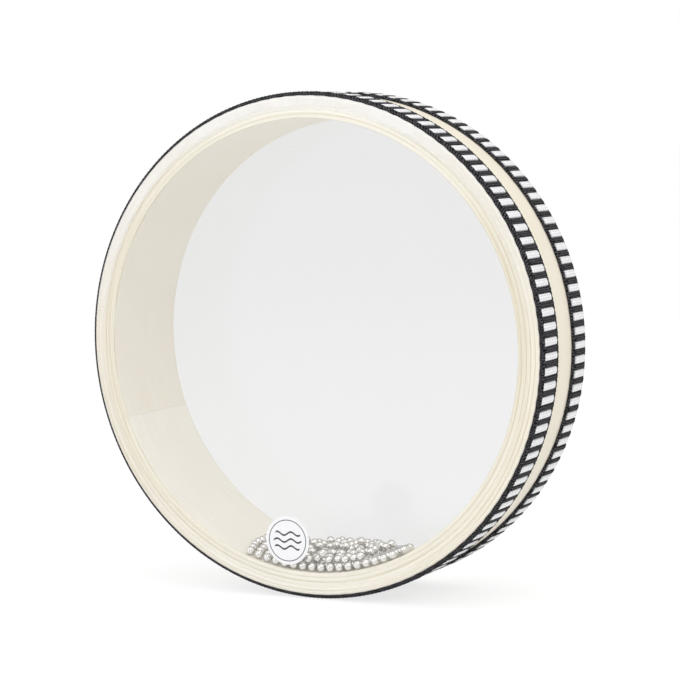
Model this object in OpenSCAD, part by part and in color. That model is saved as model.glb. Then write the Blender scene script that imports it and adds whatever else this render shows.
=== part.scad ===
// Ocean drum: a bent plywood hoop with a clear film head glued over each side, a woven ribbon
// round each film skirt, and a shallow pile of loose steel beads that wash about between the heads.
// Millimetres. The drum stands on its rim: its axis runs along Y, the front head faces -Y, +Z is up.

/* [Hoop] */
// Outer diameter of the plywood hoop
hoop_d = 254; // [180:1:360]
// Depth of the hoop from face to face
hoop_depth = 61; // [55:0.5:90]
// Thickness of each of the five veneers
ply_t = 2.3; // [1.8:0.1:3]
// Width of the hairline where the two ends of a veneer meet
ply_joint = 0.2; // [0.1:0.05:0.5]
// Radius of the outer edge that the film is drawn over
edge_r = 1.2; // [0.5:0.1:1.5]
// Radius of the inner edge, eased by sanding
inner_edge_r = 0.7; // [0.3:0.1:1.2]

/* [Film heads] */
// Thickness of the clear film
film_t = 0.25; // [0.15:0.05:0.5]
// How far the film's skirt stops short of the ribbon's inner edge
skirt_hem = 3; // [1:0.5:5]

/* [Ribbon] */
// Width of each woven ribbon
ribbon_w = 18; // [14:0.5:22]
// Distance from the face of the head to the ribbon's edge
ribbon_inset = 1.7; // [0.5:0.1:3]
// Thickness of the woven ground under the pattern
ground_t = 0.6; // [0.4:0.1:1]
// Width of the black edge on each side of the ribbon
rail_w = 2.2; // [1.8:0.1:3]
// Height of the black edges above the ground
rail_h = 1.25; // [1:0.05:1.3]
// Radius that the black edges are rounded with on top
rail_edge_r = 0.6; // [0.3:0.1:0.7]
// Height of the black rungs above the ground
rung_h = 1.35; // [1.3:0.05:1.6]
// Wanted distance from one satin block to the next, rounded to a whole number of blocks
block_pitch = 7.25; // [6:0.05:12]
// Length of a satin block along the ribbon
block_w = 4; // [2:0.1:4.5]
// How far the satin blocks lie below the tops of the black rungs
block_drop = 0.05; // [0.05:0.05:0.2]
// Gap between a satin block and the black weave around it
block_gap = 0.05; // [0.05:0.05:0.2]

/* [Sticker] */
// Diameter of the round paper sticker
sticker_d = 25; // [10:0.5:40]
// Thickness of the sticker
sticker_t = 0.12; // [0.08:0.02:0.3]
// Distance from the rim's inner wall to the sticker's edge
sticker_margin = 2.4; // [1:0.1:20]
// Place of the sticker round the rim, counted clockwise from the lowest point
sticker_deg = 7.9; // [-90:0.1:90]

/* [Beads] */
// Diameter of one steel bead
bead_d = 4.5; // [3:0.1:6]
// Clearance round every bead
bead_gap = 0.15; // [0.1:0.05:0.3]
// Angle round the rim that the pile of beads takes up along the front head
pile_deg = 43; // [20:1:60]
// Beads of the upper layer in the quarter of the depth next to the front head
top_beads = 22; // [5:1:26]
// Extra distance between the beads of the front row
front_slack = 0.6; // [0.1:0.05:1]
// Largest extra distance between beads of the other rows
loose_slack = 0.75; // [0.1:0.05:1]

/* [Hidden] */

$fn = 180;
// Steps round the thin toothed ring, whose wall needs a finer circle
ring_fn = 720;

// Hoop
ply_count = 5;
half_depth = hoop_depth / 2;
hoop_r = hoop_d / 2;
wall_r = hoop_r - ply_count * ply_t;
// Where each veneer's ends meet, as shares of a turn from the inner ply outwards
ply_joint_shares = [0.555, 0.16, 0.77, 0.37, 0.62];

// Film
face_w = half_depth + film_t;
skirt_r = hoop_r + film_t;
skirt_l = ribbon_w + ribbon_inset - skirt_hem;

// Ribbon
ground_r = skirt_r + ground_t;
rung_r = ground_r + rung_h;
block_r = rung_r - block_drop;
block_l = ribbon_w - 2 * rail_w - 2 * block_gap;
block_count = round(2 * PI * rung_r / block_pitch);
block_turn = 360 / block_count;
block_deg = block_w / rung_r * 180 / PI;
gap_deg = block_gap / rung_r * 180 / PI;
ribbon_mid = face_w - ribbon_inset - ribbon_w / 2;
// How far round the hoop each ribbon's first block lies, as shares of a block's pitch
front_start_share = 0.602;
back_start_share = 0.875;

// The lowest points of the part are the tops of the ribbons' black rungs
axis_z = rung_r;

// Sticker
sticker_ring_r = wall_r - sticker_margin - sticker_d / 2;

// Beads: cell is the least distance between two bead centres, roll_r the radius they roll at
cell = bead_d + bead_gap;
roll_r = wall_r - bead_d / 2 - bead_gap;
lane_count = 4;
lane_w = (hoop_depth - bead_gap) / lane_count;
lane_free = lane_w - cell;
lane_rows = floor(lane_free / cell) + 1;
// Ends of the pile at even steps from the back head to the front one, as shares of pile_deg
left_end_shares = [-0.20, -0.36, -0.51, -0.50, -0.44];
right_end_shares = [0.19, 0.33, 0.48, 0.63, 0.57];
// Upper beads of each lane from the back to the front, as shares of top_beads
top_shares = [0.55, 0.85, 1, 1];
// How far a bead may stray from its row, and how widely the upper layer is spread, as shares
stray_share = 0.5;
top_spread_share = 0.72;
// Places tried for each bead of the upper layer
tries = 48;
// Beads are drawn with fewer steps than the hoop
bead_fn = 24;
seed = 11;

// Places children drawn round Z onto the drum's axis, with their +Z towards the front
module on_axis() {
    translate([0, 0, axis_z]) rotate([90, 0, 0]) children();
}

// Quarter of a disc in the corner where x and y are positive
module quarter_disc(r) {
    intersection() {
        circle(r);
        square(r);
    }
}

// Section of a veneer with the edges on one side eased: side is 1 for the outer edges, -1 for the
// inner ones and 0 for none
module ply_section(r_in, side, ease) {
    mid = r_in + ply_t / 2;
    translate([mid, 0]) mirror([side < 0 ? 1 : 0, 0]) {
        if (side == 0) {
            square([ply_t, hoop_depth], center = true);
        } else {
            translate([-ply_t / 2, -half_depth]) square([ply_t - ease, hoop_depth]);
            translate([ply_t / 2 - ease, -half_depth + ease]) square([ease, hoop_depth - 2 * ease]);
            for (m = [0, 1]) mirror([0, m])
                translate([ply_t / 2 - ease, half_depth - ease]) quarter_disc(ease);
        }
    }
}

// One veneer: a strip bent round until its ends meet at a hairline
module ply(index, side = 0, ease = 0) {
    r_in = wall_r + index * ply_t;
    joint_deg = ply_joint / r_in * 180 / PI;
    on_axis()
        rotate([0, 0, ply_joint_shares[index] * 360 + joint_deg / 2])
            rotate_extrude(angle = 360 - joint_deg)
                ply_section(r_in, side, ease);
}

module inner_ply() { color([0.89, 0.87, 0.80]) ply(0, -1, inner_edge_r); }
module second_ply() { color([0.93, 0.88, 0.78]) ply(1); }
module middle_ply() { color([0.95, 0.92, 0.85]) ply(2); }
module fourth_ply() { color([0.93, 0.88, 0.78]) ply(3); }
module outer_ply() { color([0.93, 0.90, 0.84]) ply(4, 1, edge_r); }

// Half section of a head: the flat disc, the fold over the hoop's edge and the skirt
module head_section() {
    fold_r = edge_r + film_t;
    translate([0, half_depth]) square([hoop_r - edge_r, film_t]);
    translate([hoop_r - edge_r, half_depth - edge_r])
        difference() {
            quarter_disc(fold_r);
            circle(edge_r);
        }
    translate([hoop_r, face_w - skirt_l]) square([film_t, skirt_l - film_t - edge_r]);
}

// side is 1 for the front head and -1 for the back one
module head(side) {
    color([0.90, 0.93, 0.94, 0.35])
        on_axis() mirror([0, 0, side < 0 ? 1 : 0]) rotate_extrude() head_section();
}

module front_head() { head(1); }
module back_head() { head(-1); }

// Places children on the middle of a ribbon: side is 1 for the front one and -1 for the back one
module on_ribbon(side, start_share) {
    on_axis() translate([0, 0, side * ribbon_mid]) rotate([0, 0, start_share * block_turn])
        children();
}

// Section of one black edge of the ribbon, rounded on top
module rail_section() {
    top_w = rail_w - 2 * rail_edge_r;
    shoulder_r = ground_r + rail_h - rail_edge_r;
    translate([skirt_r, -rail_w / 2]) square([shoulder_r - skirt_r, rail_w]);
    translate([skirt_r, -top_w / 2]) square([ground_t + rail_h, top_w]);
    for (m = [-1, 1])
        translate([shoulder_r, m * top_w / 2]) circle(rail_edge_r);
}

// Outline of the ground between the black edges: a ring whose outside steps up at every rung
function toothed_ring() = [
    for (i = [0 : block_count - 1], s = [-1, 1], t = [0, 1])
        let (
            half = block_deg / 2 + gap_deg,
            a = i * block_turn + s * half,
            r = (s + 1) / 2 == t ? rung_r : ground_r
        )
        r * [cos(a), sin(a)]
];

// Woven ground of a ribbon: two black edges joined by rungs
module ribbon(side, start_share) {
    color([0.14, 0.14, 0.15])
        on_ribbon(side, start_share) {
            for (m = [-1, 1])
                translate([0, 0, m * (ribbon_w - rail_w) / 2]) rotate_extrude() rail_section();
            linear_extrude(height = ribbon_w - 2 * rail_w, center = true)
                difference() {
                    polygon(toothed_ring());
                    circle(skirt_r, $fn = ring_fn);
                }
        }
}

// Section of a satin block, crowned across the ribbon
module block_section() {
    h = block_r - ground_r;
    crown_r = h / 2;
    translate([ground_r, -block_l / 2]) square([h - crown_r, block_l]);
    translate([ground_r, crown_r - block_l / 2]) square([h, block_l - 2 * crown_r]);
    for (m = [-1, 1])
        translate([block_r - crown_r, m * (block_l / 2 - crown_r)]) circle(crown_r);
}

// Satin blocks of a ribbon, one in each pocket between the rungs
module ribbon_blocks(side, start_share) {
    color([0.93, 0.93, 0.92])
        on_ribbon(side, start_share)
            for (i = [0 : block_count - 1])
                rotate([0, 0, i * block_turn - block_deg / 2])
                    rotate_extrude(angle = block_deg) block_section();
}

module front_ribbon() { ribbon(1, front_start_share); }
module back_ribbon() { ribbon(-1, back_start_share); }
module front_ribbon_blocks() { ribbon_blocks(1, front_start_share); }
module back_ribbon_blocks() { ribbon_blocks(-1, back_start_share); }

// Round paper sticker on the outside of the front head
module sticker() {
    color([0.96, 0.96, 0.96])
        on_axis() rotate([0, 0, -sticker_deg])
            translate([0, -sticker_ring_r, face_w]) cylinder(d = sticker_d, h = sticker_t);
}

// Back edge of a lane along the drum's axis
function lane_start(lane) = (bead_gap - hoop_depth) / 2 + lane * lane_w;

// Middle of a row of the bottom layer. Lane rows run from the back to the front.
function row_w(lane, row) =
    lane_start(lane) + cell / 2 + (lane_rows > 1 ? lane_free * row / (lane_rows - 1) : lane_free / 2);

function is_front_row(lane, row) = lane == lane_count - 1 && row == lane_rows - 1;

// Least arc position at which a bead in row place w clears every bead already laid
function next_arc(w, laid, start) = max([
    start,
    for (p = laid) if (abs(p[1] - w) < cell) p[0] + sqrt(cell * cell - pow(p[1] - w, 2))
]);

// Arc position of an end of the pile at place w along the axis
function pile_end(shares, w) =
    let (steps = len(shares) - 1)
    roll_r * PI / 180 * pile_deg
        * lookup((w / hoop_depth + 0.5) * steps, [for (i = [0 : steps]) [i, shares[i]]]);

// Bottom layer of a lane as [arc position, place along the axis]: row by row, each bead is pushed
// up against those already laid, let loose by a random slack, and kept while the pile lasts
function lay(lane, stray, slack, k = 0, laid = []) =
    k >= len(stray) ? laid :
    let (
        row = k % lane_rows,
        free = max(0, lane_free / max(1, lane_rows - 1) - cell),
        edge = row == 0 ? 1 : row == lane_rows - 1 ? -1 : 0,
        off = is_front_row(lane, row) ? 0
            : edge == 0 ? (2 * stray[k] - 1) * free
            : edge * stray[k] * free,
        w = row_w(lane, row) + stray_share * off,
        loose = is_front_row(lane, row) ? front_slack : slack[k] * loose_slack,
        start = pile_end(left_end_shares, w),
        arc = next_arc(w, laid, start) + (k < lane_rows ? 0 : loose),
        kept = arc <= pile_end(right_end_shares, w)
    )
    lay(lane, stray, slack, k + 1, kept ? concat(laid, [[arc, w]]) : laid);

// Centres of a lane's bottom layer as [across, height above the axis, along the axis]
function floor_spots(lane) =
    let (
        longest = max(right_end_shares) - min(left_end_shares),
        slots = lane_rows * ceil(roll_r * pile_deg * longest * PI / 180 / cell),
        stray = rands(0, 1, slots, seed + lane),
        slack = rands(0, 1, slots, seed + lane + lane_count)
    )
    [for (p = lay(lane, stray, slack))
        let (a = p[0] / roll_r * 180 / PI)
        [roll_r * sin(a), -roll_r * cos(a), p[1]]];

// Height at which a bead let down at (x, w) comes to rest on the wall or on other beads
function rest_height(x, w, beads) = max([
    -sqrt(roll_r * roll_r - x * x),
    for (p = beads)
        let (q = cell * cell - pow(p[0] - x, 2) - pow(p[2] - w, 2))
        if (q > 0) p[1] + sqrt(q)
]);

// Upper layer: each bead takes the lowest of the places tried for it
function settle(want, xs, ws, beads, tops = []) =
    len(tops) >= want ? tops :
    let (
        all = concat(beads, tops),
        first = len(tops) * tries,
        heights = [for (j = [first : first + tries - 1]) rest_height(xs[j], ws[j], all)],
        best = first + search(min(heights), heights)[0]
    )
    settle(want, xs, ws, beads, concat(tops, [[xs[best], heights[best - first], ws[best]]]));

function top_spots(lane, beads) =
    let (
        across = [for (p = beads) p[0]],
        mid = (min(across) + max(across)) / 2,
        reach = (max(across) - min(across)) / 2 * top_spread_share,
        low = lane_start(lane) + cell / 2,
        want = round(top_beads * top_shares[lane])
    )
    settle(
        want,
        rands(mid - reach, mid + reach, want * tries, seed + lane + 2 * lane_count),
        rands(low, low + lane_free, want * tries, seed + lane + 3 * lane_count),
        beads
    );

module beads_at(spots) {
    color([0.75, 0.75, 0.76])
        on_axis() for (p = spots) translate(p) sphere(d = bead_d, $fn = bead_fn);
}

module floor_beads(lane) { beads_at(floor_spots(lane)); }
module top_beads_of(lane) { beads_at(top_spots(lane, floor_spots(lane))); }

module back_floor_beads() { floor_beads(0); }
module back_top_beads() { top_beads_of(0); }
module mid_back_floor_beads() { floor_beads(1); }
module mid_back_top_beads() { top_beads_of(1); }
module mid_front_floor_beads() { floor_beads(2); }
module mid_front_top_beads() { top_beads_of(2); }
module front_floor_beads() { floor_beads(3); }
module front_top_beads() { top_beads_of(3); }

inner_ply();
second_ply();
middle_ply();
fourth_ply();
outer_ply();
front_head();
back_head();
front_ribbon();
front_ribbon_blocks();
back_ribbon();
back_ribbon_blocks();
sticker();
back_floor_beads();
back_top_beads();
mid_back_floor_beads();
mid_back_top_beads();
mid_front_floor_beads();
mid_front_top_beads();
front_floor_beads();
front_top_beads();
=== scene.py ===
"""Ocean drum: a bent veneer hoop with a clear film head over each side, a woven ribbon round each
head's skirt, a round paper label and 260 loose steel balls. In metres, with the drum's axis along
Y."""
import math

import bmesh
import bpy
import numpy as np
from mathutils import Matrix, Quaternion, Vector


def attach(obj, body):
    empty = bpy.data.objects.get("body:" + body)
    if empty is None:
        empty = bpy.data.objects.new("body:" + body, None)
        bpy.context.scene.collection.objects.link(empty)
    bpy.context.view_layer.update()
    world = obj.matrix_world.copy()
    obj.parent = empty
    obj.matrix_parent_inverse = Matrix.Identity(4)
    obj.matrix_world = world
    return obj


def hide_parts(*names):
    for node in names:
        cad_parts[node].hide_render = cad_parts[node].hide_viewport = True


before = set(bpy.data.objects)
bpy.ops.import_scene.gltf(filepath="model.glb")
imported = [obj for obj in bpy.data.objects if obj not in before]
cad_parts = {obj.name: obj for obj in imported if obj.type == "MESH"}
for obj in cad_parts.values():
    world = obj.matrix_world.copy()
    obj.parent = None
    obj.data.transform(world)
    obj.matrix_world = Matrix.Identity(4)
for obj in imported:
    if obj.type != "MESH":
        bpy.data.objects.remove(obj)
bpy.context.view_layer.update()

# Camera
# The photograph's view: a long lens in front of the drum, off to its right and a little above its
# middle, turned slightly clockwise.
camera_place = Vector((0.52864, -1.01854, 0.23207))
camera_target = Vector((0.00378, -0.00040, 0.13036))
camera_roll = math.radians(-1.508)

camera_data = bpy.data.cameras.new("camera")
camera_data.lens = 117.69
camera_data.sensor_width = 36
camera_data.clip_start = 0.05
camera = bpy.data.objects.new("camera", camera_data)
bpy.context.scene.collection.objects.link(camera)
camera.location = camera_place
camera.rotation_mode = "QUATERNION"
aim = (camera_target - camera_place).to_track_quat("-Z", "Y")
camera.rotation_quaternion = aim @ Quaternion((0, 0, 1), camera_roll)
bpy.context.scene.camera = camera

# Hoop
# Five birch veneers, each a long strip bent round until its ends meet, glued one inside the other
# and sanded. Their edges show as rings on the rim, under the film, and the outermost one is bare
# between the two ribbons.
axis_height = 0.1292
hoop_radius = 0.127
half_depth = 0.0305
veneer_count = 5
veneer_thickness = 0.0023
sanded_outer_edge = 0.0012
sanded_inner_edge = 0.0007
glue_line_ease = 0.00014
corner_points = 6
flat_support = 0.0003
end_gap = 0.00005
hoop_steps = 480
weld_distance = 0.000001


def carried_round(section, turns):
    """Points of a section of (radius, along) carried round the drum's axis through the angles
    turns: x = radius cos turn, y = -along, z = axis height + radius sin turn."""
    radius = section[..., 0]
    along = section[..., 1]
    turn = turns[:, None]
    x = radius * np.cos(turn)
    z = axis_height + radius * np.sin(turn)
    return np.stack([x, -along + 0 * turn, z], axis=-1)


def enclosed_volume(points, faces):
    """Volume inside four-sided faces: a sixth of a . (b x c) summed over both halves of each face.
    It is negative where the faces point inwards."""
    a, b, c, d = (points[faces[:, k]] for k in range(4))
    return ((a * np.cross(b, c)).sum() + (a * np.cross(c, d)).sum()) / 6


def new_piece(name, points, faces, corner_uv, sharp_degrees=40):
    """A smooth piece with points that meet welded into one, its faces turned outwards, creases left
    sharp past sharp_degrees, and the UV map "cut", in metres on the flat material."""
    if enclosed_volume(points - points.mean(axis=0), faces) < 0:
        faces = faces[:, ::-1]
        corner_uv = corner_uv[:, ::-1]
    mesh = bpy.data.meshes.new(name)
    mesh.from_pydata(points.tolist(), [], faces.tolist())
    mesh.polygons.foreach_set("use_smooth", np.ones(len(faces), bool))
    layer = mesh.uv_layers.new(name="cut")
    layer.data.foreach_set("uv", corner_uv.astype(np.float32).ravel())
    bm = bmesh.new()
    bm.from_mesh(mesh)
    bmesh.ops.remove_doubles(bm, verts=bm.verts, dist=weld_distance)
    bm.to_mesh(mesh)
    bm.free()
    mesh.set_sharp_from_angle(angle=math.radians(sharp_degrees))
    piece = bpy.data.objects.new(name, mesh)
    bpy.context.scene.collection.objects.link(piece)
    return piece


def grid_squares(rows, columns, wrap_rows=False, wrap_columns=False):
    """Row and column of the four corners of every square of a grid of points: square (i, j) has its
    corners at (i, j), (i + 1, j), (i + 1, j + 1) and (i, j + 1)."""
    i, j = np.meshgrid(
        np.arange(rows - (not wrap_rows)), np.arange(columns - (not wrap_columns)), indexing="ij"
    )
    row = np.stack([i, i + 1, i + 1, i], axis=-1).reshape(-1, 4)
    column = np.stack([j, j, j + 1, j + 1], axis=-1).reshape(-1, 4)
    return row, column


def skin(name, points, uv, wrap_rows=False, wrap_columns=False):
    """A piece over a grid of points, one face for each square of the grid. uv has one more row or
    column than points where they wrap."""
    rows, columns = points.shape[:2]
    row, column = grid_squares(rows, columns, wrap_rows, wrap_columns)
    faces = (row % rows) * columns + column % columns
    return new_piece(name, points.reshape(-1, 3), faces, uv[row, column])


def strip_section(low, high, eases):
    """Closed section of a strip between two corners (radius, along). Corner k is a quarter circle
    of radius e = eases[k]: its middle + e (cos a, sin a), with a flat stretch before and after."""
    arc = np.radians(np.linspace(0, 90, corner_points))
    ways = np.array([(1, -1), (1, 1), (-1, 1), (-1, -1)])
    parts = []
    for (way, start), ease in zip(zip(ways, (-90, 0, 90, 180)), eases):
        corner = np.where(way > 0, high, low)
        a = arc + math.radians(start)
        rounding = corner - ease * way + ease * np.stack([np.cos(a), np.sin(a)], axis=-1)
        before = rounding[0] + flat_support * np.array([np.sin(a[0]), -np.cos(a[0])])
        after = rounding[-1] + flat_support * np.array([-np.sin(a[-1]), np.cos(a[-1])])
        parts += [before[None], rounding, after[None]]
    return np.concatenate(parts)


def length_round(section):
    """Distance from a closed section's first point to each point and back to the first."""
    steps = np.linalg.norm(np.roll(section, -1, axis=0) - section, axis=1)
    return np.concatenate([[0], np.cumsum(steps)])


def veneer(name, index, joint_share):
    """One veneer: its section carried round from one side of the joint to the other, with both ends
    drawn together to the section's middle, which closes them."""
    inner = hoop_radius - (veneer_count - index) * veneer_thickness
    outer = inner + veneer_thickness
    inside = sanded_inner_edge if index == 0 else glue_line_ease
    outside = sanded_outer_edge if index == veneer_count - 1 else glue_line_ease
    section = strip_section(
        np.array([inner, -half_depth]), np.array([outer, half_depth]),
        (outside, outside, inside, inside),
    )
    start = 2 * math.pi * joint_share + end_gap / 2 / inner
    turns = start + np.linspace(0, 2 * math.pi - end_gap / inner, hoop_steps + 1)
    rings = np.broadcast_to(section, (hoop_steps + 1, *section.shape))
    middle = np.broadcast_to(section.mean(axis=0), (1, *section.shape))
    points = carried_round(
        np.concatenate([middle, rings, middle]), np.concatenate([turns[:1], turns, turns[-1:]])
    )
    lengthways = np.concatenate([turns[:1], turns, turns[-1:]]) * (inner + outer) / 2
    u, v = np.meshgrid(lengthways, length_round(section), indexing="ij")
    return skin(name, points, np.stack([u, v], axis=-1), wrap_columns=True)


def put(tree, kind, inputs=None, **settings):
    """A node of one kind in a node tree, with its settings and its inputs set or linked."""
    node = tree.nodes.new("ShaderNode" + kind)
    for key, value in settings.items():
        setattr(node, key, value)
    for key, value in (inputs or {}).items():
        if isinstance(value, bpy.types.NodeSocket):
            tree.links.new(value, node.inputs[key])
        else:
            node.inputs[key].default_value = value
    return node


def maths(tree, operation, a, b=0.0, c=0.0):
    """The result of one Math node."""
    return put(tree, "Math", {0: a, 1: b, 2: c}, operation=operation).outputs[0]


def ramp(tree, value, low, high, at_low=0.0, at_high=1.0, curve="LINEAR"):
    """A value taken from low..high to at_low..at_high, and held level beyond both ends."""
    ends = {0: value, 1: low, 2: high, 3: at_low, 4: at_high}
    return put(tree, "MapRange", ends, interpolation_type=curve).outputs[0]


def noise(tree, place, scale, detail, roughness=0.5):
    """Soft noise round 0.5 over a place in metres, with about scale spots to the metre."""
    settings = {"Vector": place, "Scale": scale, "Detail": detail, "Roughness": roughness}
    return put(tree, "TexNoise", settings).outputs["Fac"]


def drawn_noise(tree, along, along_scale, across, across_scale, detail, roughness=0.5):
    """Noise over two directions, each with a scale of its own, which draws it out along the one
    with the smaller scale."""
    place = put(
        tree, "CombineXYZ",
        {
            0: maths(tree, "MULTIPLY", along, along_scale),
            1: maths(tree, "MULTIPLY", across, across_scale),
        },
    )
    return noise(tree, place.outputs[0], 1.0, detail, roughness)


def blend_colour(tree, share, first, second):
    """Colour between first and second by a share from 0 to 1. Inputs 6 and 7 of a Mix node are its
    two colours, and output 2 is the blended one."""
    return put(tree, "Mix", {0: share, 6: first, 7: second}, data_type="RGBA").outputs[2]


def raise_surface(tree, shader, height, strength, distance):
    """A bump on a shader from a height, distance metres high where the height is 1."""
    bump = put(tree, "Bump", {"Height": height, "Strength": strength, "Distance": distance})
    tree.links.new(bump.outputs[0], shader.inputs["Normal"])


def new_group(name, inputs, outputs):
    """An empty shader node group, with the sockets that inputs and outputs name, and its two
    ends."""
    tree = bpy.data.node_groups.new(name, "ShaderNodeTree")
    for label, kind, value in inputs:
        socket = tree.interface.new_socket(label, in_out="INPUT", socket_type="NodeSocket" + kind)
        if value is not None:
            socket.default_value = value
    for label, kind in outputs:
        tree.interface.new_socket(label, in_out="OUTPUT", socket_type="NodeSocket" + kind)
    return tree, tree.nodes.new("NodeGroupInput"), tree.nodes.new("NodeGroupOutput")


def use_group(tree, group, inputs):
    """A node group placed in a material with its own values."""
    return put(tree, "Group", inputs, node_tree=group)


def finish_of(name, **plain):
    """A material with one Principled shader, its plain values set, and its tree and shader."""
    material = bpy.data.materials.new(name)
    material.use_nodes = True
    tree = material.node_tree
    shader = tree.nodes["Principled BSDF"]
    for key, value in plain.items():
        shader.inputs[key.replace("_", " ")].default_value = value
    return material, tree, shader


grain_wander = 0.004
streaks_along = 18.0
pores_along = 220.0
pores_across = 3400.0
tone_drift = 0.34


def birch_group():
    """Birch across flat UV metres, the grain running along u. Its streaks are noise stretched forty
    times or more along the grain, its pores short dark dashes, its cloud a slow change of tone, and
    the strip deepens towards its far end. Colour goes from Pale to Deep with all of them, and
    Height drops in streaks and pores."""
    tree, start, end = new_group(
        "birch_grain",
        (
            ("Across", "Vector", None),
            ("Pale", "Color", (0.8, 0.8, 0.8, 1)),
            ("Deep", "Color", (0.6, 0.5, 0.4, 1)),
            ("Streaks per metre", "Float", 600.0),
            ("Contrast", "Float", 0.5),
        ),
        (("Colour", "Color"), ("Height", "Float")),
    )
    flat = put(tree, "SeparateXYZ", {0: start.outputs["Across"]})
    u, v = flat.outputs["X"], flat.outputs["Y"]
    wander = noise(tree, start.outputs["Across"], 14.0, 2.0)
    bent = maths(tree, "MULTIPLY_ADD", wander, grain_wander, v)
    density = start.outputs["Streaks per metre"]
    streak = ramp(tree, drawn_noise(tree, u, streaks_along, bent, density, 4.0, 0.6), 0.35, 0.68)
    pore = ramp(tree, drawn_noise(tree, u, pores_along, v, pores_across, 1.0), 0.64, 0.78)
    cloud = noise(tree, start.outputs["Across"], 45.0, 3.0)
    tone = maths(tree, "MULTIPLY_ADD", streak, 0.6, maths(tree, "MULTIPLY", cloud, 0.5))
    tone = maths(tree, "MULTIPLY", tone, start.outputs["Contrast"])
    tone = maths(tree, "MULTIPLY_ADD", u, tone_drift, tone)
    tone = maths(tree, "MAXIMUM", tone, maths(tree, "MULTIPLY", pore, 0.35))
    colour = blend_colour(tree, tone, start.outputs["Pale"], start.outputs["Deep"])
    height = maths(tree, "SUBTRACT", 1.0, maths(tree, "MULTIPLY_ADD", pore, 0.6, streak))
    tree.links.new(colour, end.inputs["Colour"])
    tree.links.new(height, end.inputs["Height"])
    return tree


birch_grain = birch_group()
rim_depth = 0.0008


def ply_edge_group():
    """The sanded edge of the veneers, from the distance to the drum's axis. Rings are noise drawn
    out along the hoop, a dark line lies on each glue line where (radius - bore) / thickness is
    whole, the wood deepens towards both sides, and Mask is 1 on the two faces of the hoop."""
    tree, start, end = new_group(
        "ply_edge",
        (
            ("Place", "Vector", None),
            ("Along", "Float", 0.0),
            ("Pale", "Color", (0.8, 0.8, 0.8, 1)),
            ("Deep", "Color", (0.6, 0.5, 0.4, 1)),
        ),
        (("Colour", "Color"), ("Mask", "Float")),
    )
    place = put(tree, "SeparateXYZ", {0: start.outputs["Place"]})
    rise = maths(tree, "SUBTRACT", place.outputs["Z"], axis_height)
    square = maths(tree, "MULTIPLY", rise, rise)
    x = place.outputs["X"]
    radius = maths(tree, "SQRT", maths(tree, "MULTIPLY_ADD", x, x, square))
    depth = maths(tree, "ABSOLUTE", place.outputs["Y"])
    mask = maths(tree, "GREATER_THAN", depth, half_depth - rim_depth)
    along = start.outputs["Along"]
    bore = hoop_radius - veneer_count * veneer_thickness
    layer = maths(tree, "DIVIDE", maths(tree, "SUBTRACT", radius, bore), veneer_thickness)
    ring = ramp(tree, drawn_noise(tree, along, 9.0, layer, 3.2, 3.0), 0.42, 0.66)
    broad = ramp(tree, drawn_noise(tree, along, 7.0, layer, 0.8, 1.0), 0.4, 0.65)
    broken = ramp(tree, drawn_noise(tree, along, 26.0, layer, 1.0, 2.0), 0.36, 0.6)
    line = ramp(tree, maths(tree, "PINGPONG", layer, 0.5), 0.02, 0.13, at_low=1.0, at_high=0.0)
    tone = maths(tree, "MULTIPLY_ADD", ring, 0.38, maths(tree, "MULTIPLY", broad, 0.26))
    tone = maths(tree, "MULTIPLY_ADD", maths(tree, "MULTIPLY", line, broken), 0.7, tone)
    deeper = ramp(tree, maths(tree, "ABSOLUTE", x), 0.04, 0.12, at_high=0.3)
    tone = maths(tree, "MINIMUM", maths(tree, "ADD", tone, deeper), 1.0)
    colour = blend_colour(tree, tone, start.outputs["Pale"], start.outputs["Deep"])
    tree.links.new(colour, end.inputs["Colour"])
    tree.links.new(mask, end.inputs["Mask"])
    return tree


ply_edge = ply_edge_group()
edge_pale = (0.90, 0.87, 0.79, 1)
edge_deep = (0.65, 0.57, 0.39, 1)


def birch(name, pale, deep, streaks, contrast):
    """Bare sanded birch: the grain over the strip, with a fine bump from its height, and on the
    hoop's two faces the rings of the veneers' edges."""
    material, tree, shader = finish_of(name, Roughness=0.55, IOR=1.45)
    flat = put(tree, "UVMap", uv_map="cut").outputs[0]
    grain = use_group(
        tree, birch_grain,
        {
            "Across": flat,
            "Pale": (*pale, 1),
            "Deep": (*deep, 1),
            "Streaks per metre": streaks,
            "Contrast": contrast,
        },
    )
    edge = use_group(
        tree, ply_edge,
        {
            "Place": put(tree, "TexCoord").outputs["Object"],
            "Along": put(tree, "SeparateXYZ", {0: flat}).outputs["X"],
            "Pale": edge_pale,
            "Deep": edge_deep,
        },
    )
    colour = blend_colour(
        tree, edge.outputs["Mask"], grain.outputs["Colour"], edge.outputs["Colour"]
    )
    tree.links.new(colour, shader.inputs["Base Color"])
    raise_surface(tree, shader, grain.outputs["Height"], 0.12, 0.00008)
    return material


wall_birch = birch("wall_birch", (0.92, 0.90, 0.845), (0.78, 0.71, 0.58), 700.0, 0.4)
face_birch = birch("face_birch", (0.91, 0.88, 0.80), (0.79, 0.70, 0.52), 700.0, 0.4)
core_birch = birch("core_birch", (0.88, 0.82, 0.68), (0.74, 0.62, 0.42), 1500.0, 0.6)
veneers = (
    ("inner_veneer", "inner_ply", 0.555, wall_birch),
    ("second_veneer", "second_ply", 0.16, core_birch),
    ("middle_veneer", "middle_ply", 0.77, face_birch),
    ("fourth_veneer", "fourth_ply", 0.37, core_birch),
    ("outer_veneer", "outer_ply", 0.62, face_birch),
)
for index, (name, node, joint_share, finish) in enumerate(veneers):
    piece = veneer(name, index, joint_share)
    piece.data.materials.append(finish)
    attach(piece, "drum")
    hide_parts(node)

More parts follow.
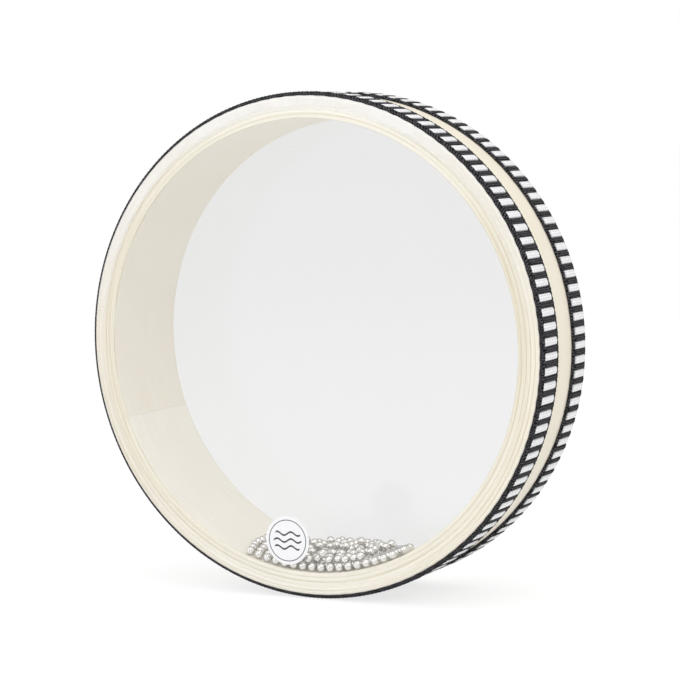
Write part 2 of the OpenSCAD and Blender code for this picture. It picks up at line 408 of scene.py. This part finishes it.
# Film heads
# Two sheets of clear film, shrunk tight over the hoop's faces, folded round its sanded edge and
# glued down, with a painted sheen over the rim, whitest at the top. The ribbons cover the skirts.
film_thickness = 0.00025
film_lift = 0.00003
skirt_depth = 0.0167
disc_rings = np.array([0, 0.03, 0.06, 0.09, 0.11, 0.12, 0.1252])
fold_points = 9
below_fold = 0.002
film_steps = 360


def film_section():
    """Half section of a head from the middle of its outer face over the fold and down the skirt,
    then back inside. Each fold is a quarter circle round the sanded edge's own middle."""
    fold_middle = np.array([hoop_radius - sanded_outer_edge, half_depth - sanded_outer_edge])
    arc = np.radians(np.linspace(90, 0, fold_points))
    quarter = np.stack([np.cos(arc), np.sin(arc)], axis=-1)
    outer_fold = fold_middle + (sanded_outer_edge + film_thickness) * quarter
    inner_fold = fold_middle + (sanded_outer_edge + film_lift) * quarter
    outside, inside = hoop_radius + film_thickness, hoop_radius + film_lift
    face, back = half_depth + film_thickness, half_depth + film_lift
    hem = face - skirt_depth
    over = np.stack([disc_rings, np.full(len(disc_rings), face)], axis=-1)
    under = np.stack([disc_rings[::-1], np.full(len(disc_rings), back)], axis=-1)
    skirt = np.array([
        [outside, face - below_fold], [outside, hem], [inside, hem], [inside, face - below_fold],
    ])
    return np.concatenate([over, outer_fold, skirt, inner_fold[::-1], under])


def film_head(name, side):
    """A head: its section carried right round, side 1 for the front and -1 for the back."""
    section = film_section() * (1, side)
    turns = np.linspace(0, 2 * math.pi, film_steps, endpoint=False)
    points = carried_round(section, turns)
    around = np.linspace(0, 2 * math.pi * hoop_radius, film_steps + 1)
    u, v = np.meshgrid(around, length_round(section)[:-1], indexing="ij")
    return skin(name, points, np.stack([u, v], axis=-1), wrap_rows=True)


clear_share = 0.06
rim_sheen_share = 0.55
rim_band_start = 0.1190
rim_band_full = 0.1225
bare_shine = 0.6
bare_roughness = 0.12
rim_band_roughness = 0.25
film_grey = (0.88, 0.89, 0.89, 1)
sheen_white = (1.0, 0.99, 0.975, 1)


def clear_film():
    """Clear film: a thin shine over what lies behind it. Over the rim it is whitened by a painted
    sheen, more so towards the top and a little towards the left, in soft patches."""
    material, tree, shader = finish_of("clear_film")
    place = put(tree, "SeparateXYZ", {0: put(tree, "TexCoord").outputs["Object"]})
    rise = maths(tree, "SUBTRACT", place.outputs["Z"], axis_height)
    face_place = put(tree, "CombineXYZ", {0: place.outputs["X"], 1: rise}).outputs[0]
    reach = put(tree, "VectorMath", {0: face_place}, operation="LENGTH").outputs["Value"]
    over_rim = ramp(tree, reach, rim_band_start, rim_band_full, curve="SMOOTHSTEP")
    upwards = ramp(tree, rise, 0.0, hoop_radius, at_low=0.1)
    leftwards = ramp(tree, place.outputs["X"], 0.0, -hoop_radius, at_high=0.2)
    patchy = ramp(tree, noise(tree, face_place, 28.0, 3.0), 0.35, 0.65, at_low=0.6)
    # Painted sheen: the film over the rim is whitened, most at the top and a little at the left.
    painted_sheen = maths(tree, "MULTIPLY", over_rim, maths(tree, "ADD", upwards, leftwards))
    painted_sheen = maths(tree, "MULTIPLY", painted_sheen, patchy)
    for socket, value in (
        ("Alpha", maths(tree, "MULTIPLY_ADD", painted_sheen, rim_sheen_share, clear_share)),
        ("Metallic", maths(tree, "MULTIPLY_ADD", over_rim, -bare_shine, bare_shine)),
        ("Roughness", maths(tree, "MULTIPLY_ADD", over_rim, rim_band_roughness, bare_roughness)),
        ("Base Color", blend_colour(tree, over_rim, film_grey, sheen_white)),
    ):
        tree.links.new(value, shader.inputs[socket])
    return material


film_finish = clear_film()
for name, node, side in (("front_film", "front_head", 1), ("back_film", "back_head", -1)):
    piece = film_head(name, side)
    piece.data.materials.append(film_finish)
    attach(piece, "drum")
    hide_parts(node)

# Ribbons
# Woven trim glued round each skirt: a thin black ground with a braided selvedge along both sides,
# and across it black rungs that are packed out into rolls, with a pocket between every two. Widths
# are from the ribbon's middle, and less than 0 towards the bare band.
ribbon_width = 0.018
ribbon_inset = 0.0017
ground_thickness = 0.0006
tape_thickness = 0.0007
tape_edge = 0.0003
tape_rounding = 0.00031
rung_crest = 0.00180
rung_half = 0.00160
rung_over_floats = (0.0002, 0.0001)
rung_stray = 0.00005
rung_fatness = 0.025
rung_fullness = 3.0
rung_end_fullness = 20.0
cord_fullness = 2.0
braid_height = 0.05
braid_length = 0.0016
braid_strands = 3
selvedge_start = 0.0079
wavy_edge = 0.0008
edge_wave = 0.0001
edge_stops = np.array([0, 0.00002, 0.0001])
cord_stops = np.array([-0.95, -0.6, 0, 0.6, 0.95])
rung_end_stops = np.array([0.0001, 0.0003, 0.0007, 0.0012])
middle_stops = np.array([-0.004, 0, 0.0035])
closest_stops = 0.00001
underside_v = (0.0110, 0.0300, 0.0306)
block_count = 112
steps_per_block = 20
ribbon_middle = half_depth + film_thickness - ribbon_inset - ribbon_width / 2
skirt_radius = hoop_radius + film_thickness
ribbons = {
    "front": {
        "side": 1, "start_share": 0.602, "edges": (-0.0095, 0.0102), "floats": (-0.0083, 0.0074),
        "cords": ((-0.00890, 0.00055, 0.0017), (0.0082, 0.00090, 0.00172)),
    },
    "back": {
        "side": -1, "start_share": 0.875, "edges": (-0.0090, 0.0084), "floats": (-0.0072, 0.0060),
        "cords": ((-0.00815, 0.00085, 0.0014), (0.0068, 0.00080, 0.0010)),
    },
}
weave_chance = np.random.default_rng(5)


def roll(distance, half, fullness):
    """Height of a roll of height 1 across its width: (1 - |distance / half| ^ fullness) ^ (1 / 2),
    and 0 beyond its edges."""
    return np.sqrt(np.clip(1 - np.abs(distance / half) ** fullness, 0, 1))


def under_ribbon(along):
    """Radius of the film under a ribbon: the skirt's own, and past the start of the head's fold
    fold middle + sqrt(fold radius ^ 2 - (distance past the start) ^ 2)."""
    fold_radius = sanded_outer_edge + film_thickness
    past = np.maximum(np.abs(along) - (half_depth - sanded_outer_edge), 0)
    return hoop_radius - sanded_outer_edge + np.sqrt(fold_radius ** 2 - past ** 2)


def width_stops(edges, rung_ends, cords):
    """Widths of the points across a ribbon's section: close together at its edges, over the
    selvedge cords and at the rungs' ends, and further apart in its middle."""
    low, high = edges
    stops = np.sort(np.concatenate([
        low + edge_stops, high - edge_stops,
        *(middle + half * cord_stops for middle, half, _ in cords),
        rung_ends[0] + rung_end_stops, rung_ends[1] - rung_end_stops,
        middle_stops,
    ]))
    stops = stops[np.concatenate([[True], np.diff(stops) > closest_stops])]
    return stops[(stops >= low) & (stops <= high)]


def woven_ribbon(name, side, start_share, edges, floats, cords):
    """The black weave over angle and width, which runs from the bare band to the head. Its height
    is the highest of the tape, the selvedge cords, and the rung, a roll along the ribbon times a
    fuller one across it. The cords' braid is cos(2 pi (strands x share + width / braid length)). A
    cord is given as its middle, half its width and its crest."""
    rows = block_count * steps_per_block
    share = (np.arange(rows) / steps_per_block)[:, None]
    number = np.floor(share).astype(int)
    turn = 2 * math.pi * (share + start_share) / block_count
    low, high = edges
    rung_ends = (floats[0] - rung_over_floats[0], floats[1] + rung_over_floats[1])
    across = width_stops(edges, rung_ends, cords)[None, :]
    along_ribbon = 2 * math.pi * skirt_radius / block_count
    off = weave_chance.normal(0, rung_stray, block_count)[number]
    fat = 1 + weave_chance.normal(0, rung_fatness, block_count)[number]
    from_rung = (share % 1 - 0.5) * along_ribbon - off
    from_middle = across - sum(rung_ends) / 2
    across_rung = roll(from_middle, (rung_ends[1] - rung_ends[0]) / 2, rung_end_fullness)
    rung = roll(from_rung, rung_half, rung_fullness) * across_rung
    height = ground_thickness + (rung_crest - ground_thickness) * np.minimum(rung * fat, 1)
    strand = np.cos(2 * math.pi * (braid_strands * share + across / braid_length))
    braid = 1 + braid_height * strand
    for middle, half, crest in cords:
        height = np.maximum(height, crest * roll(across - middle, half, cord_fullness) * braid)
    from_edge = np.minimum(across - low, high - across)
    tape = tape_thickness * roll(np.minimum(from_edge - tape_edge, 0), tape_rounding, 2.0)
    height = np.where(from_edge < tape_edge, tape, np.maximum(height, tape))
    width = across + edge_wave * np.cos(2 * math.pi * share) * (from_edge < wavy_edge)
    width = np.concatenate([width, width[:, -1:], width[:, :1]], axis=1)
    height = np.concatenate([height, np.full((rows, 2), film_lift)], axis=1)
    along = ribbon_middle + width
    radius = under_ribbon(along) + height
    points = carried_round(np.stack([radius, side * along], axis=-1), turn[:, 0])
    u = np.linspace(0, 2 * math.pi * skirt_radius, rows + 1)
    v = np.concatenate([across[0], underside_v])
    u, v = np.meshgrid(u, v, indexing="ij")
    return skin(name, points, np.stack([u, v], axis=-1), wrap_rows=True, wrap_columns=True)


thread_sway = 0.7


def thread_group():
    """Threads over flat UV metres: Ribs is |sin| of the way across the threads, which run at Slant
    radians from u, at Spacing metres, with a little noise, and Bind is |sin| along them, shifted by
    half from one thread to the next, as the crossing threads hold them down."""
    tree, start, end = new_group(
        "threads",
        (
            ("Across", "Vector", None),
            ("Spacing", "Float", 0.0005),
            ("Bind spacing", "Float", 0.0008),
            ("Slant", "Float", 0.0),
        ),
        (("Ribs", "Float"), ("Bind", "Float"), ("Fuzz", "Float")),
    )
    turned = put(
        tree, "VectorRotate",
        {"Vector": start.outputs["Across"], "Angle": start.outputs["Slant"]},
        rotation_type="Z_AXIS",
    )
    flat = put(tree, "SeparateXYZ", {0: turned.outputs[0]})
    fuzz = noise(tree, start.outputs["Across"], 2600.0, 3.0)
    sway = noise(tree, start.outputs["Across"], 500.0, 1.0)
    place = maths(tree, "DIVIDE", flat.outputs["Y"], start.outputs["Spacing"])
    place = maths(tree, "MULTIPLY_ADD", sway, thread_sway, place)
    ribs = maths(tree, "ABSOLUTE", maths(tree, "SINE", maths(tree, "MULTIPLY", place, math.pi)))
    odd = maths(tree, "MULTIPLY", maths(tree, "FLOOR", place), 0.5)
    step = maths(tree, "DIVIDE", flat.outputs["X"], start.outputs["Bind spacing"])
    held = maths(tree, "MULTIPLY", maths(tree, "ADD", step, odd), math.pi)
    bind = maths(tree, "ABSOLUTE", maths(tree, "SINE", held))
    tree.links.new(ribs, end.inputs["Ribs"])
    tree.links.new(bind, end.inputs["Bind"])
    tree.links.new(fuzz, end.inputs["Fuzz"])
    return tree


threads = thread_group()
shadow_black = (0.001, 0.001, 0.001, 1)
worn_and_lit_black = (0.082, 0.079, 0.087, 1)


def black_weave():
    """Black polyester: rows of thread across the ribbon on the rungs, and slanted ones on the
    selvedges, with painted highlight on the threads' tops, painted shade between them, and wear."""
    material, tree, shader = finish_of(
        "black_weave", Roughness=0.72, Specular_IOR_Level=0.08, Sheen_Weight=0.015,
        Sheen_Roughness=0.4,
    )
    flat = put(tree, "UVMap", uv_map="cut").outputs[0]
    v = put(tree, "SeparateXYZ", {0: flat}).outputs["Y"]
    on_edge = maths(tree, "GREATER_THAN", maths(tree, "ABSOLUTE", v), selvedge_start)
    rows = use_group(
        tree, threads,
        {"Across": flat, "Spacing": 0.0011, "Bind spacing": 0.0013, "Slant": math.pi / 2},
    )
    plait = use_group(
        tree, threads,
        {"Across": flat, "Spacing": 0.0012, "Bind spacing": 0.0016, "Slant": math.radians(48)},
    )
    heights = []
    for cloth in (rows, plait):
        crossed = maths(tree, "MULTIPLY", cloth.outputs["Ribs"], cloth.outputs["Bind"])
        heights.append(maths(tree, "MULTIPLY_ADD", cloth.outputs["Ribs"], 0.6, crossed))
    mixed = put(tree, "Mix", {0: on_edge, 2: heights[0], 3: heights[1]}, data_type="FLOAT")
    height = maths(tree, "MULTIPLY_ADD", rows.outputs["Fuzz"], 0.5, mixed.outputs[0])
    # Painted highlight and shade: high threads lighter, gaps darker, plus random wear from noise.
    wear_and_thread_light = maths(tree, "MULTIPLY_ADD", noise(tree, flat, 900.0, 2.0), 3.0, height)
    tone = ramp(tree, wear_and_thread_light, 2.1, 3.2)
    colour = blend_colour(tree, tone, shadow_black, worn_and_lit_black)
    tree.links.new(colour, shader.inputs["Base Color"])
    raise_surface(tree, shader, height, 0.8, 0.00015)
    return material


black_thread = black_weave()
for end, cut in ribbons.items():
    piece = woven_ribbon(end + "_woven_ribbon", **cut)
    piece.data.materials.append(black_thread)
    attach(piece, "drum")
    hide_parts(end + "_ribbon")

# Satin blocks
# White satin floats that run lengthways over a soft filling, one block in each pocket of the
# ribbons. The weave dives under the rungs, so each block is a low pillow with rounded corners.
block_half = 0.00202
block_crest = 0.0019
block_foot = 0.00060
block_fullness = 5.0
band_end_fullness = 14.0
head_end_fullness = 20.0
band_corners = 0.09
head_corners = 0.03
bowed_ends = 0.012
half_stray = 0.03
reach_stray = 0.006
crest_stray = 0.02
place_stray = 0.00005
block_rows = np.array([-1, -0.93, -0.72, -0.3, 0.3, 0.72, 0.93, 1])
block_columns = np.array([-1, -0.99, -0.96, -0.9, -0.8, -0.3, 0.3, 0.85, 0.95, 0.985, 1])


def satin_blocks(side, start_share, floats):
    """All blocks of a ribbon at once. A block's height over its foot is a roll along the ribbon
    times a fuller roll across it, and its corners draw in, most at the bare band. Every block
    strays a little in width, reach, height and place."""
    s, t = np.meshgrid(block_rows, block_columns, indexing="ij")
    number = np.arange(block_count)[:, None, None]
    chance = weave_chance.normal(0, 1, (4, block_count, 1, 1))
    pitch = 2 * math.pi * skirt_radius / block_count
    drawn_in = np.where(t < 0, band_corners * np.abs(t) ** 12, head_corners * t ** 8)
    half = block_half * (1 + half_stray * chance[0]) * (1 - drawn_in)
    bow = 1 - bowed_ends * s ** 4
    reach = (floats[1] - floats[0]) / 2 * (1 + reach_stray * chance[1]) * bow
    top = block_crest * (1 - crest_stray * np.abs(chance[2]))
    falling = np.where(t < 0, roll(t, 1, band_end_fullness), roll(t, 1, head_end_fullness))
    height = block_foot + (top - block_foot) * roll(s, 1, block_fullness) * falling
    length = (number + start_share) * pitch + place_stray * chance[3] + half * s
    width = (floats[0] + floats[1]) / 2 + reach * t
    turn = length / skirt_radius
    radius = skirt_radius + height
    points = np.stack([
        radius * np.cos(turn),
        -side * (ribbon_middle + width + 0 * turn),
        axis_height + radius * np.sin(turn),
    ], axis=-1).reshape(-1, 3)
    rows, columns = s.shape
    row, column = grid_squares(rows, columns)
    squares = row * columns + column
    uv = np.stack([half * s, width + 0 * half], axis=-1)
    corner_uv = uv.reshape(block_count, -1, 2)[:, squares]
    shift = (np.arange(block_count) * rows * columns)[:, None, None]
    faces = (squares[None] + shift).reshape(-1, 4)
    return points, faces, corner_uv.reshape(-1, 4, 2)


tail_start = -0.0055
tail_end = -0.0078
ridge_spacing = 0.00135
crease_spacing = 0.0021
satin_white = (0.98, 0.98, 0.98, 1)
satin_shade_grey = (0.45, 0.45, 0.48, 1)


def satin():
    """White satin: soft ridges across the ribbon and flat creases along it, with painted shade,
    grey in the grooves, at the sides and at the tail of each block, where the floats turn down."""
    material, tree, shader = finish_of("white_satin", Roughness=0.5, Sheen_Weight=0.1)
    flat = put(tree, "UVMap", uv_map="cut").outputs[0]
    parts = put(tree, "SeparateXYZ", {0: flat})
    floats = use_group(
        tree, threads, {"Across": flat, "Spacing": ridge_spacing, "Slant": math.pi / 2}
    )
    creases = use_group(tree, threads, {"Across": flat, "Spacing": crease_spacing, "Slant": 0.0})
    # Painted shade: grey in the grooves between the threads, at the block's sides and at its tail.
    groove_shades = []
    for cloth in (floats, creases):
        low_part = maths(tree, "SUBTRACT", 1.0, cloth.outputs["Ribs"])
        groove_shades.append(maths(tree, "POWER", low_part, 2.0))
    to_side = maths(tree, "DIVIDE", maths(tree, "ABSOLUTE", parts.outputs["X"]), block_half)
    shade = maths(tree, "POWER", to_side, 6.0)
    tail_shade = ramp(tree, parts.outputs["Y"], tail_start, tail_end)
    shade_and_fuzz = maths(tree, "MULTIPLY_ADD", groove_shades[0], 0.55, maths(tree, "MULTIPLY", shade, 0.25))
    shade_and_fuzz = maths(tree, "MULTIPLY_ADD", groove_shades[1], 0.5, shade_and_fuzz)
    shade_and_fuzz = maths(tree, "MULTIPLY_ADD", tail_shade, 0.35, shade_and_fuzz)
    shade_and_fuzz = maths(tree, "MULTIPLY_ADD", floats.outputs["Fuzz"], 0.12, shade_and_fuzz)
    colour = blend_colour(tree, shade_and_fuzz, satin_white, satin_shade_grey)
    tree.links.new(colour, shader.inputs["Base Color"])
    height = maths(tree, "MULTIPLY_ADD", floats.outputs["Fuzz"], 0.3, floats.outputs["Ribs"])
    raise_surface(tree, shader, height, 0.5, 0.00007)
    return material


white_satin = satin()
for end, cut in ribbons.items():
    blocks = satin_blocks(cut["side"], cut["start_share"], cut["floats"])
    piece = new_piece(end + "_satin_blocks", *blocks)
    piece.data.materials.append(white_satin)
    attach(piece, "drum")
    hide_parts(end + "_ribbon_blocks")

# Label
# A round paper label, cut out and stuck on the front film low down, printed with three waves in a
# thin ring.
label_radius = 0.0125
label_thickness = 0.00012
label_turn = math.radians(-97.9)
label_orbit = 0.1006
label_points = 120
label_inner_ring = 0.6
label_cut = np.array([(0.0002, 0), (0.00003, 0.00001), (0, 0.00004)])
ring_radius = 0.0106
waves_reach = 0.76
wave_spacing = 0.0036
wave_height = 0.0009
wave_length = 0.008
ring_line_share = 0.45
ink_full = 0.00018
ink_gone = 0.00026
paper_white = (0.86, 0.86, 0.88, 1)
paper_grey = (0.80, 0.80, 0.82, 1)
ink_black = (0.035, 0.035, 0.04, 1)


def round_label(name):
    """A disc of paper with a softly cut edge: the section (distance from its middle, along) carried
    round its own middle. The cut is given as steps inwards and down from the disc's corner."""
    low = half_depth + film_thickness + film_lift / 2
    high = half_depth + film_thickness + label_thickness
    section = np.concatenate([
        [(0, high), (label_radius * label_inner_ring, high)],
        np.array([label_radius, high]) - label_cut,
        [(label_radius, low), (0, low)],
    ])
    turn = np.linspace(0, 2 * math.pi, label_points, endpoint=False)[:, None]
    x = section[:, 0] * np.cos(turn)
    z = section[:, 0] * np.sin(turn)
    middle = label_orbit * np.array([math.cos(label_turn), math.sin(label_turn)])
    y = -section[:, 1] + 0 * x
    points = np.stack([x + middle[0], y, z + axis_height + middle[1]], axis=-1)
    uv = np.stack([x, z], axis=-1)
    return skin(name, points, np.concatenate([uv, uv[:1]]), wrap_rows=True)


def printed_paper():
    """White coated paper. Ink lies on its front where the distance from the middle is the ring's
    radius, and where y is a wave's own height + wave height x sin(2 pi x / wave length), inside
    three quarters of the ring."""
    material, tree, shader = finish_of("white_paper", Roughness=0.45)
    flat = put(tree, "UVMap", uv_map="cut").outputs[0]
    parts = put(tree, "SeparateXYZ", {0: flat})
    x, y = parts.outputs["X"], parts.outputs["Y"]
    distance = put(tree, "VectorMath", {0: flat}, operation="LENGTH").outputs["Value"]
    nearest = maths(tree, "ABSOLUTE", maths(tree, "SUBTRACT", distance, ring_radius))
    swell = maths(tree, "SINE", maths(tree, "MULTIPLY", x, 2 * math.pi / wave_length))
    inside = maths(tree, "LESS_THAN", distance, waves_reach * ring_radius)
    outside_by = maths(tree, "SUBTRACT", 1.0, inside)
    for line in (-1, 0, 1):
        wave_y = maths(tree, "MULTIPLY_ADD", swell, wave_height, line * wave_spacing)
        gap = maths(tree, "ABSOLUTE", maths(tree, "SUBTRACT", y, wave_y))
        gap = maths(tree, "MULTIPLY_ADD", gap, ring_line_share, outside_by)
        nearest = maths(tree, "MINIMUM", nearest, gap)
    ink = ramp(tree, nearest, ink_full, ink_gone, at_low=1.0, at_high=0.0)
    place = put(tree, "SeparateXYZ", {0: put(tree, "TexCoord").outputs["Object"]})
    front = -half_depth - film_thickness - label_thickness / 2
    ink = maths(tree, "MULTIPLY", ink, maths(tree, "LESS_THAN", place.outputs["Y"], front))
    fibre = noise(tree, flat, 900.0, 4.0)
    paper = blend_colour(tree, fibre, paper_white, paper_grey)
    colour = blend_colour(tree, ink, paper, ink_black)
    tree.links.new(colour, shader.inputs["Base Color"])
    raise_surface(tree, shader, fibre, 0.1, 0.00003)
    return material


label = round_label("round_label")
label.data.materials.append(printed_paper())
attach(label, "drum")
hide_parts("sticker")

# Beads
# Polished steel balls, all of one size, loose between the heads. Each group of them follows its own
# CAD group, ball for ball.
bead_radius = 0.00225
ball_cuts = 4
thinnest_face = 0.00000002
same_place = 0.00005
same_ball = 0.001
steel_grey = (0.79, 0.775, 0.75, 1)


def bead_middles(node):
    """Middles of a CAD group's balls. A triangle with corners on a ball of radius R has the ball's
    middle under its own circumcentre, sqrt(R^2 - circumradius^2) against its normal. The triangles
    of one ball agree, so of middles closer together than a millimetre only the first counts."""
    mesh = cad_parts[node].data
    mesh.calc_loop_triangles()
    corners = np.zeros(len(mesh.loop_triangles) * 3, np.int32)
    mesh.loop_triangles.foreach_get("vertices", corners)
    places = np.zeros(len(mesh.vertices) * 3, np.float32)
    mesh.vertices.foreach_get("co", places)
    triangles = places.reshape(-1, 3).astype(float)[corners.reshape(-1, 3)]
    a, b, c = (triangles[:, k] for k in range(3))
    normal = np.cross(b - a, c - a)
    sound = np.linalg.norm(normal, axis=1) > thinnest_face
    a, b, c, normal = a[sound], b[sound], c[sound], normal[sound]
    square = (normal ** 2).sum(axis=1, keepdims=True)
    to_b = ((b - a) ** 2).sum(axis=1, keepdims=True) * np.cross(c - a, normal)
    to_c = ((c - a) ** 2).sum(axis=1, keepdims=True) * np.cross(b - a, normal)
    to_circumcentre = (to_b - to_c) / (2 * square)
    below = np.sqrt(np.maximum(bead_radius ** 2 - (to_circumcentre ** 2).sum(axis=1), 0))
    middles = a + to_circumcentre - normal / np.sqrt(square) * below[:, None]
    middles = middles[np.unique(np.round(middles / same_place), axis=0, return_index=True)[1]]
    apart = np.linalg.norm(middles[:, None] - middles[None], axis=-1)
    repeated = (np.tril(apart < same_ball, k=-1)).any(axis=1)
    return middles[~repeated]


def ball():
    """A ball of radius 1 from the six square sides of a cube: (tan s, tan t, 1) over its length,
    with s and t from -45 to 45 degrees, so that its faces are nearly equal."""
    step = np.tan(np.radians(np.linspace(-45, 45, ball_cuts + 1)))
    s, t = np.meshgrid(step, step, indexing="ij")
    side = np.stack([s, t, np.ones_like(s)], axis=-1).reshape(-1, 3)
    sides = [np.roll(side, turn, axis=1) for turn in range(3)]
    sides += [-one for one in sides]
    points = np.concatenate(sides)
    points /= np.linalg.norm(points, axis=1, keepdims=True)
    row, column = grid_squares(ball_cuts + 1, ball_cuts + 1)
    squares = row * (ball_cuts + 1) + column
    faces = np.concatenate([squares + k * len(side) for k in range(6)])
    welded, index = np.unique(np.round(points, 7), axis=0, return_inverse=True)
    return welded, index.reshape(-1)[faces]


def outward(points, faces):
    """Faces of a shape round the origin, each turned so that it points away from it."""
    a, b, c = (points[faces[:, k]] for k in range(3))
    inwards = (np.cross(b - a, c - a) * a).sum(axis=1) < 0
    return np.where(inwards[:, None], faces[:, ::-1], faces)


def polished_steel():
    """Bright steel with faint rub marks that vary its polish."""
    material, tree, shader = finish_of("polished_steel", Metallic=1.0, Base_Color=steel_grey)
    rubbed = noise(tree, put(tree, "TexCoord").outputs["Object"], 900.0, 3.0)
    polish = ramp(tree, rubbed, 0.3, 0.7, at_low=0.06, at_high=0.14)
    tree.links.new(polish, shader.inputs["Roughness"])
    return material


steel = polished_steel()
ball_points, ball_faces = ball()
ball_faces = outward(ball_points, ball_faces)
for lane in ("back", "mid_back", "mid_front", "front"):
    for layer in ("floor", "top"):
        node = f"{lane}_{layer}_beads"
        middles = bead_middles(node)
        points = middles[:, None] + bead_radius * ball_points
        shift = (np.arange(len(middles)) * len(ball_points))[:, None, None]
        faces = (ball_faces + shift).reshape(-1, 4)
        flat = np.zeros((len(faces), 4, 2))
        piece = new_piece(
            f"{lane}_{layer}_steel_beads", points.reshape(-1, 3), faces, flat, sharp_degrees=90
        )
        piece.data.materials.append(steel)
        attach(piece, node)
        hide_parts(node)

# Floor and light
# A white studio table and an even sky, with a large soft lamp overhead, another in front and a
# small key lamp. The camera and the metal see table and sky white, and through the film they are
# light grey. To the metal the sky is dimmer over the room in front of the drum and far beyond it.
table_size = 60.0
table_lit = (0.87, 0.87, 0.87, 1)
table_shown = (0.3, 0.3, 0.3, 1)
table_glow = 0.73
sky_strength = 0.9
behind_film = 0.185
room_way = (0.35, -0.93, 0.05)
room_dimness = 0.45
beyond_way = (-0.45, 0.88, -0.1)
beyond_dimness = 0.7


def seen_directly(tree):
    """1 for rays that see the background: camera, glossy and transmission rays, else 0. The second
    result is how much less of it the camera sees through the film."""
    path = put(tree, "LightPath")
    mirrored = maths(
        tree, "MAXIMUM", path.outputs["Is Glossy Ray"], path.outputs["Is Transmission Ray"]
    )
    seen = maths(tree, "MAXIMUM", path.outputs["Is Camera Ray"], mirrored)
    through = maths(tree, "MINIMUM", path.outputs["Transparent Depth"], 1.0)
    through = maths(tree, "MULTIPLY", through, path.outputs["Is Camera Ray"])
    return seen, maths(tree, "MULTIPLY", through, behind_film)


table_mesh = bpy.data.meshes.new("studio_table")
table_corners = [(-1, -1), (1, -1), (1, 1), (-1, 1)]
table_mesh.from_pydata(
    [(table_size * x, table_size * y, 0) for x, y in table_corners], [], [(0, 1, 2, 3)]
)
table = bpy.data.objects.new("studio_table", table_mesh)
bpy.context.scene.collection.objects.link(table)
table_white, table_tree, table_shader = finish_of(
    "table_white", Roughness=0.9, Specular_IOR_Level=0.0, Emission_Color=(1, 1, 1, 1)
)
table_seen, table_dimmed = seen_directly(table_tree)
table_colour = blend_colour(table_tree, table_seen, table_lit, table_shown)
table_tree.links.new(table_colour, table_shader.inputs["Base Color"])
glow = maths(table_tree, "MULTIPLY", table_seen, table_glow)
table_tree.links.new(
    maths(table_tree, "SUBTRACT", glow, table_dimmed), table_shader.inputs["Emission Strength"]
)
table_mesh.materials.append(table_white)

sky = bpy.data.worlds.new("studio_sky")
sky.use_nodes = True
bpy.context.scene.world = sky
sky_tree = sky.node_tree
sky_background = sky_tree.nodes["Background"]
sky_background.inputs["Color"].default_value = (1, 1, 1, 1)
sky_seen, sky_dimmed = seen_directly(sky_tree)


def towards(way):
    """Cosine of the angle between a ray into the sky and a way that is about 1 long."""
    ray = put(sky_tree, "TexCoord").outputs["Generated"]
    return put(sky_tree, "VectorMath", {0: ray, 1: way}, operation="DOT_PRODUCT").outputs["Value"]


into_room = maths(sky_tree, "POWER", maths(sky_tree, "MAXIMUM", towards(room_way), 0.0), 3.0)
beyond = ramp(sky_tree, towards(beyond_way), 0.2, 0.7)
dimmer = maths(
    sky_tree, "MULTIPLY_ADD", beyond, beyond_dimness,
    maths(sky_tree, "MULTIPLY", into_room, room_dimness),
)
to_metal = put(sky_tree, "LightPath").outputs["Is Glossy Ray"]
dimmer = maths(sky_tree, "SUBTRACT", 1.0, maths(sky_tree, "MULTIPLY", dimmer, to_metal))
brightness = maths(sky_tree, "MULTIPLY_ADD", sky_seen, 1 - sky_strength, sky_strength)
brightness = maths(sky_tree, "MULTIPLY", brightness, dimmer)
sky_tree.links.new(
    maths(sky_tree, "SUBTRACT", brightness, sky_dimmed), sky_background.inputs["Strength"]
)


def soft_lamp(name, place, target, size, power):
    """A square area lamp aimed at a point."""
    lamp_data = bpy.data.lights.new(name, "AREA")
    lamp_data.size = size
    lamp_data.energy = power
    lamp = bpy.data.objects.new(name, lamp_data)
    bpy.context.scene.collection.objects.link(lamp)
    lamp.location = place
    lamp.rotation_euler = (Vector(target) - Vector(place)).to_track_quat("-Z", "Y").to_euler()


soft_lamp("overhead_lamp", (0.35, -0.35, 1.5), target=(0, 0, 0.13), size=1.2, power=5.0)
soft_lamp("front_lamp", (-0.9, -1.5, 0.8), target=(0, 0, 0.13), size=1.0, power=4.0)
soft_lamp("key_lamp", (0.63, -1.44, 0.95), target=(0, 0, 0.06), size=0.3, power=3.0)

bpy.context.scene.view_settings.view_transform = "Standard"
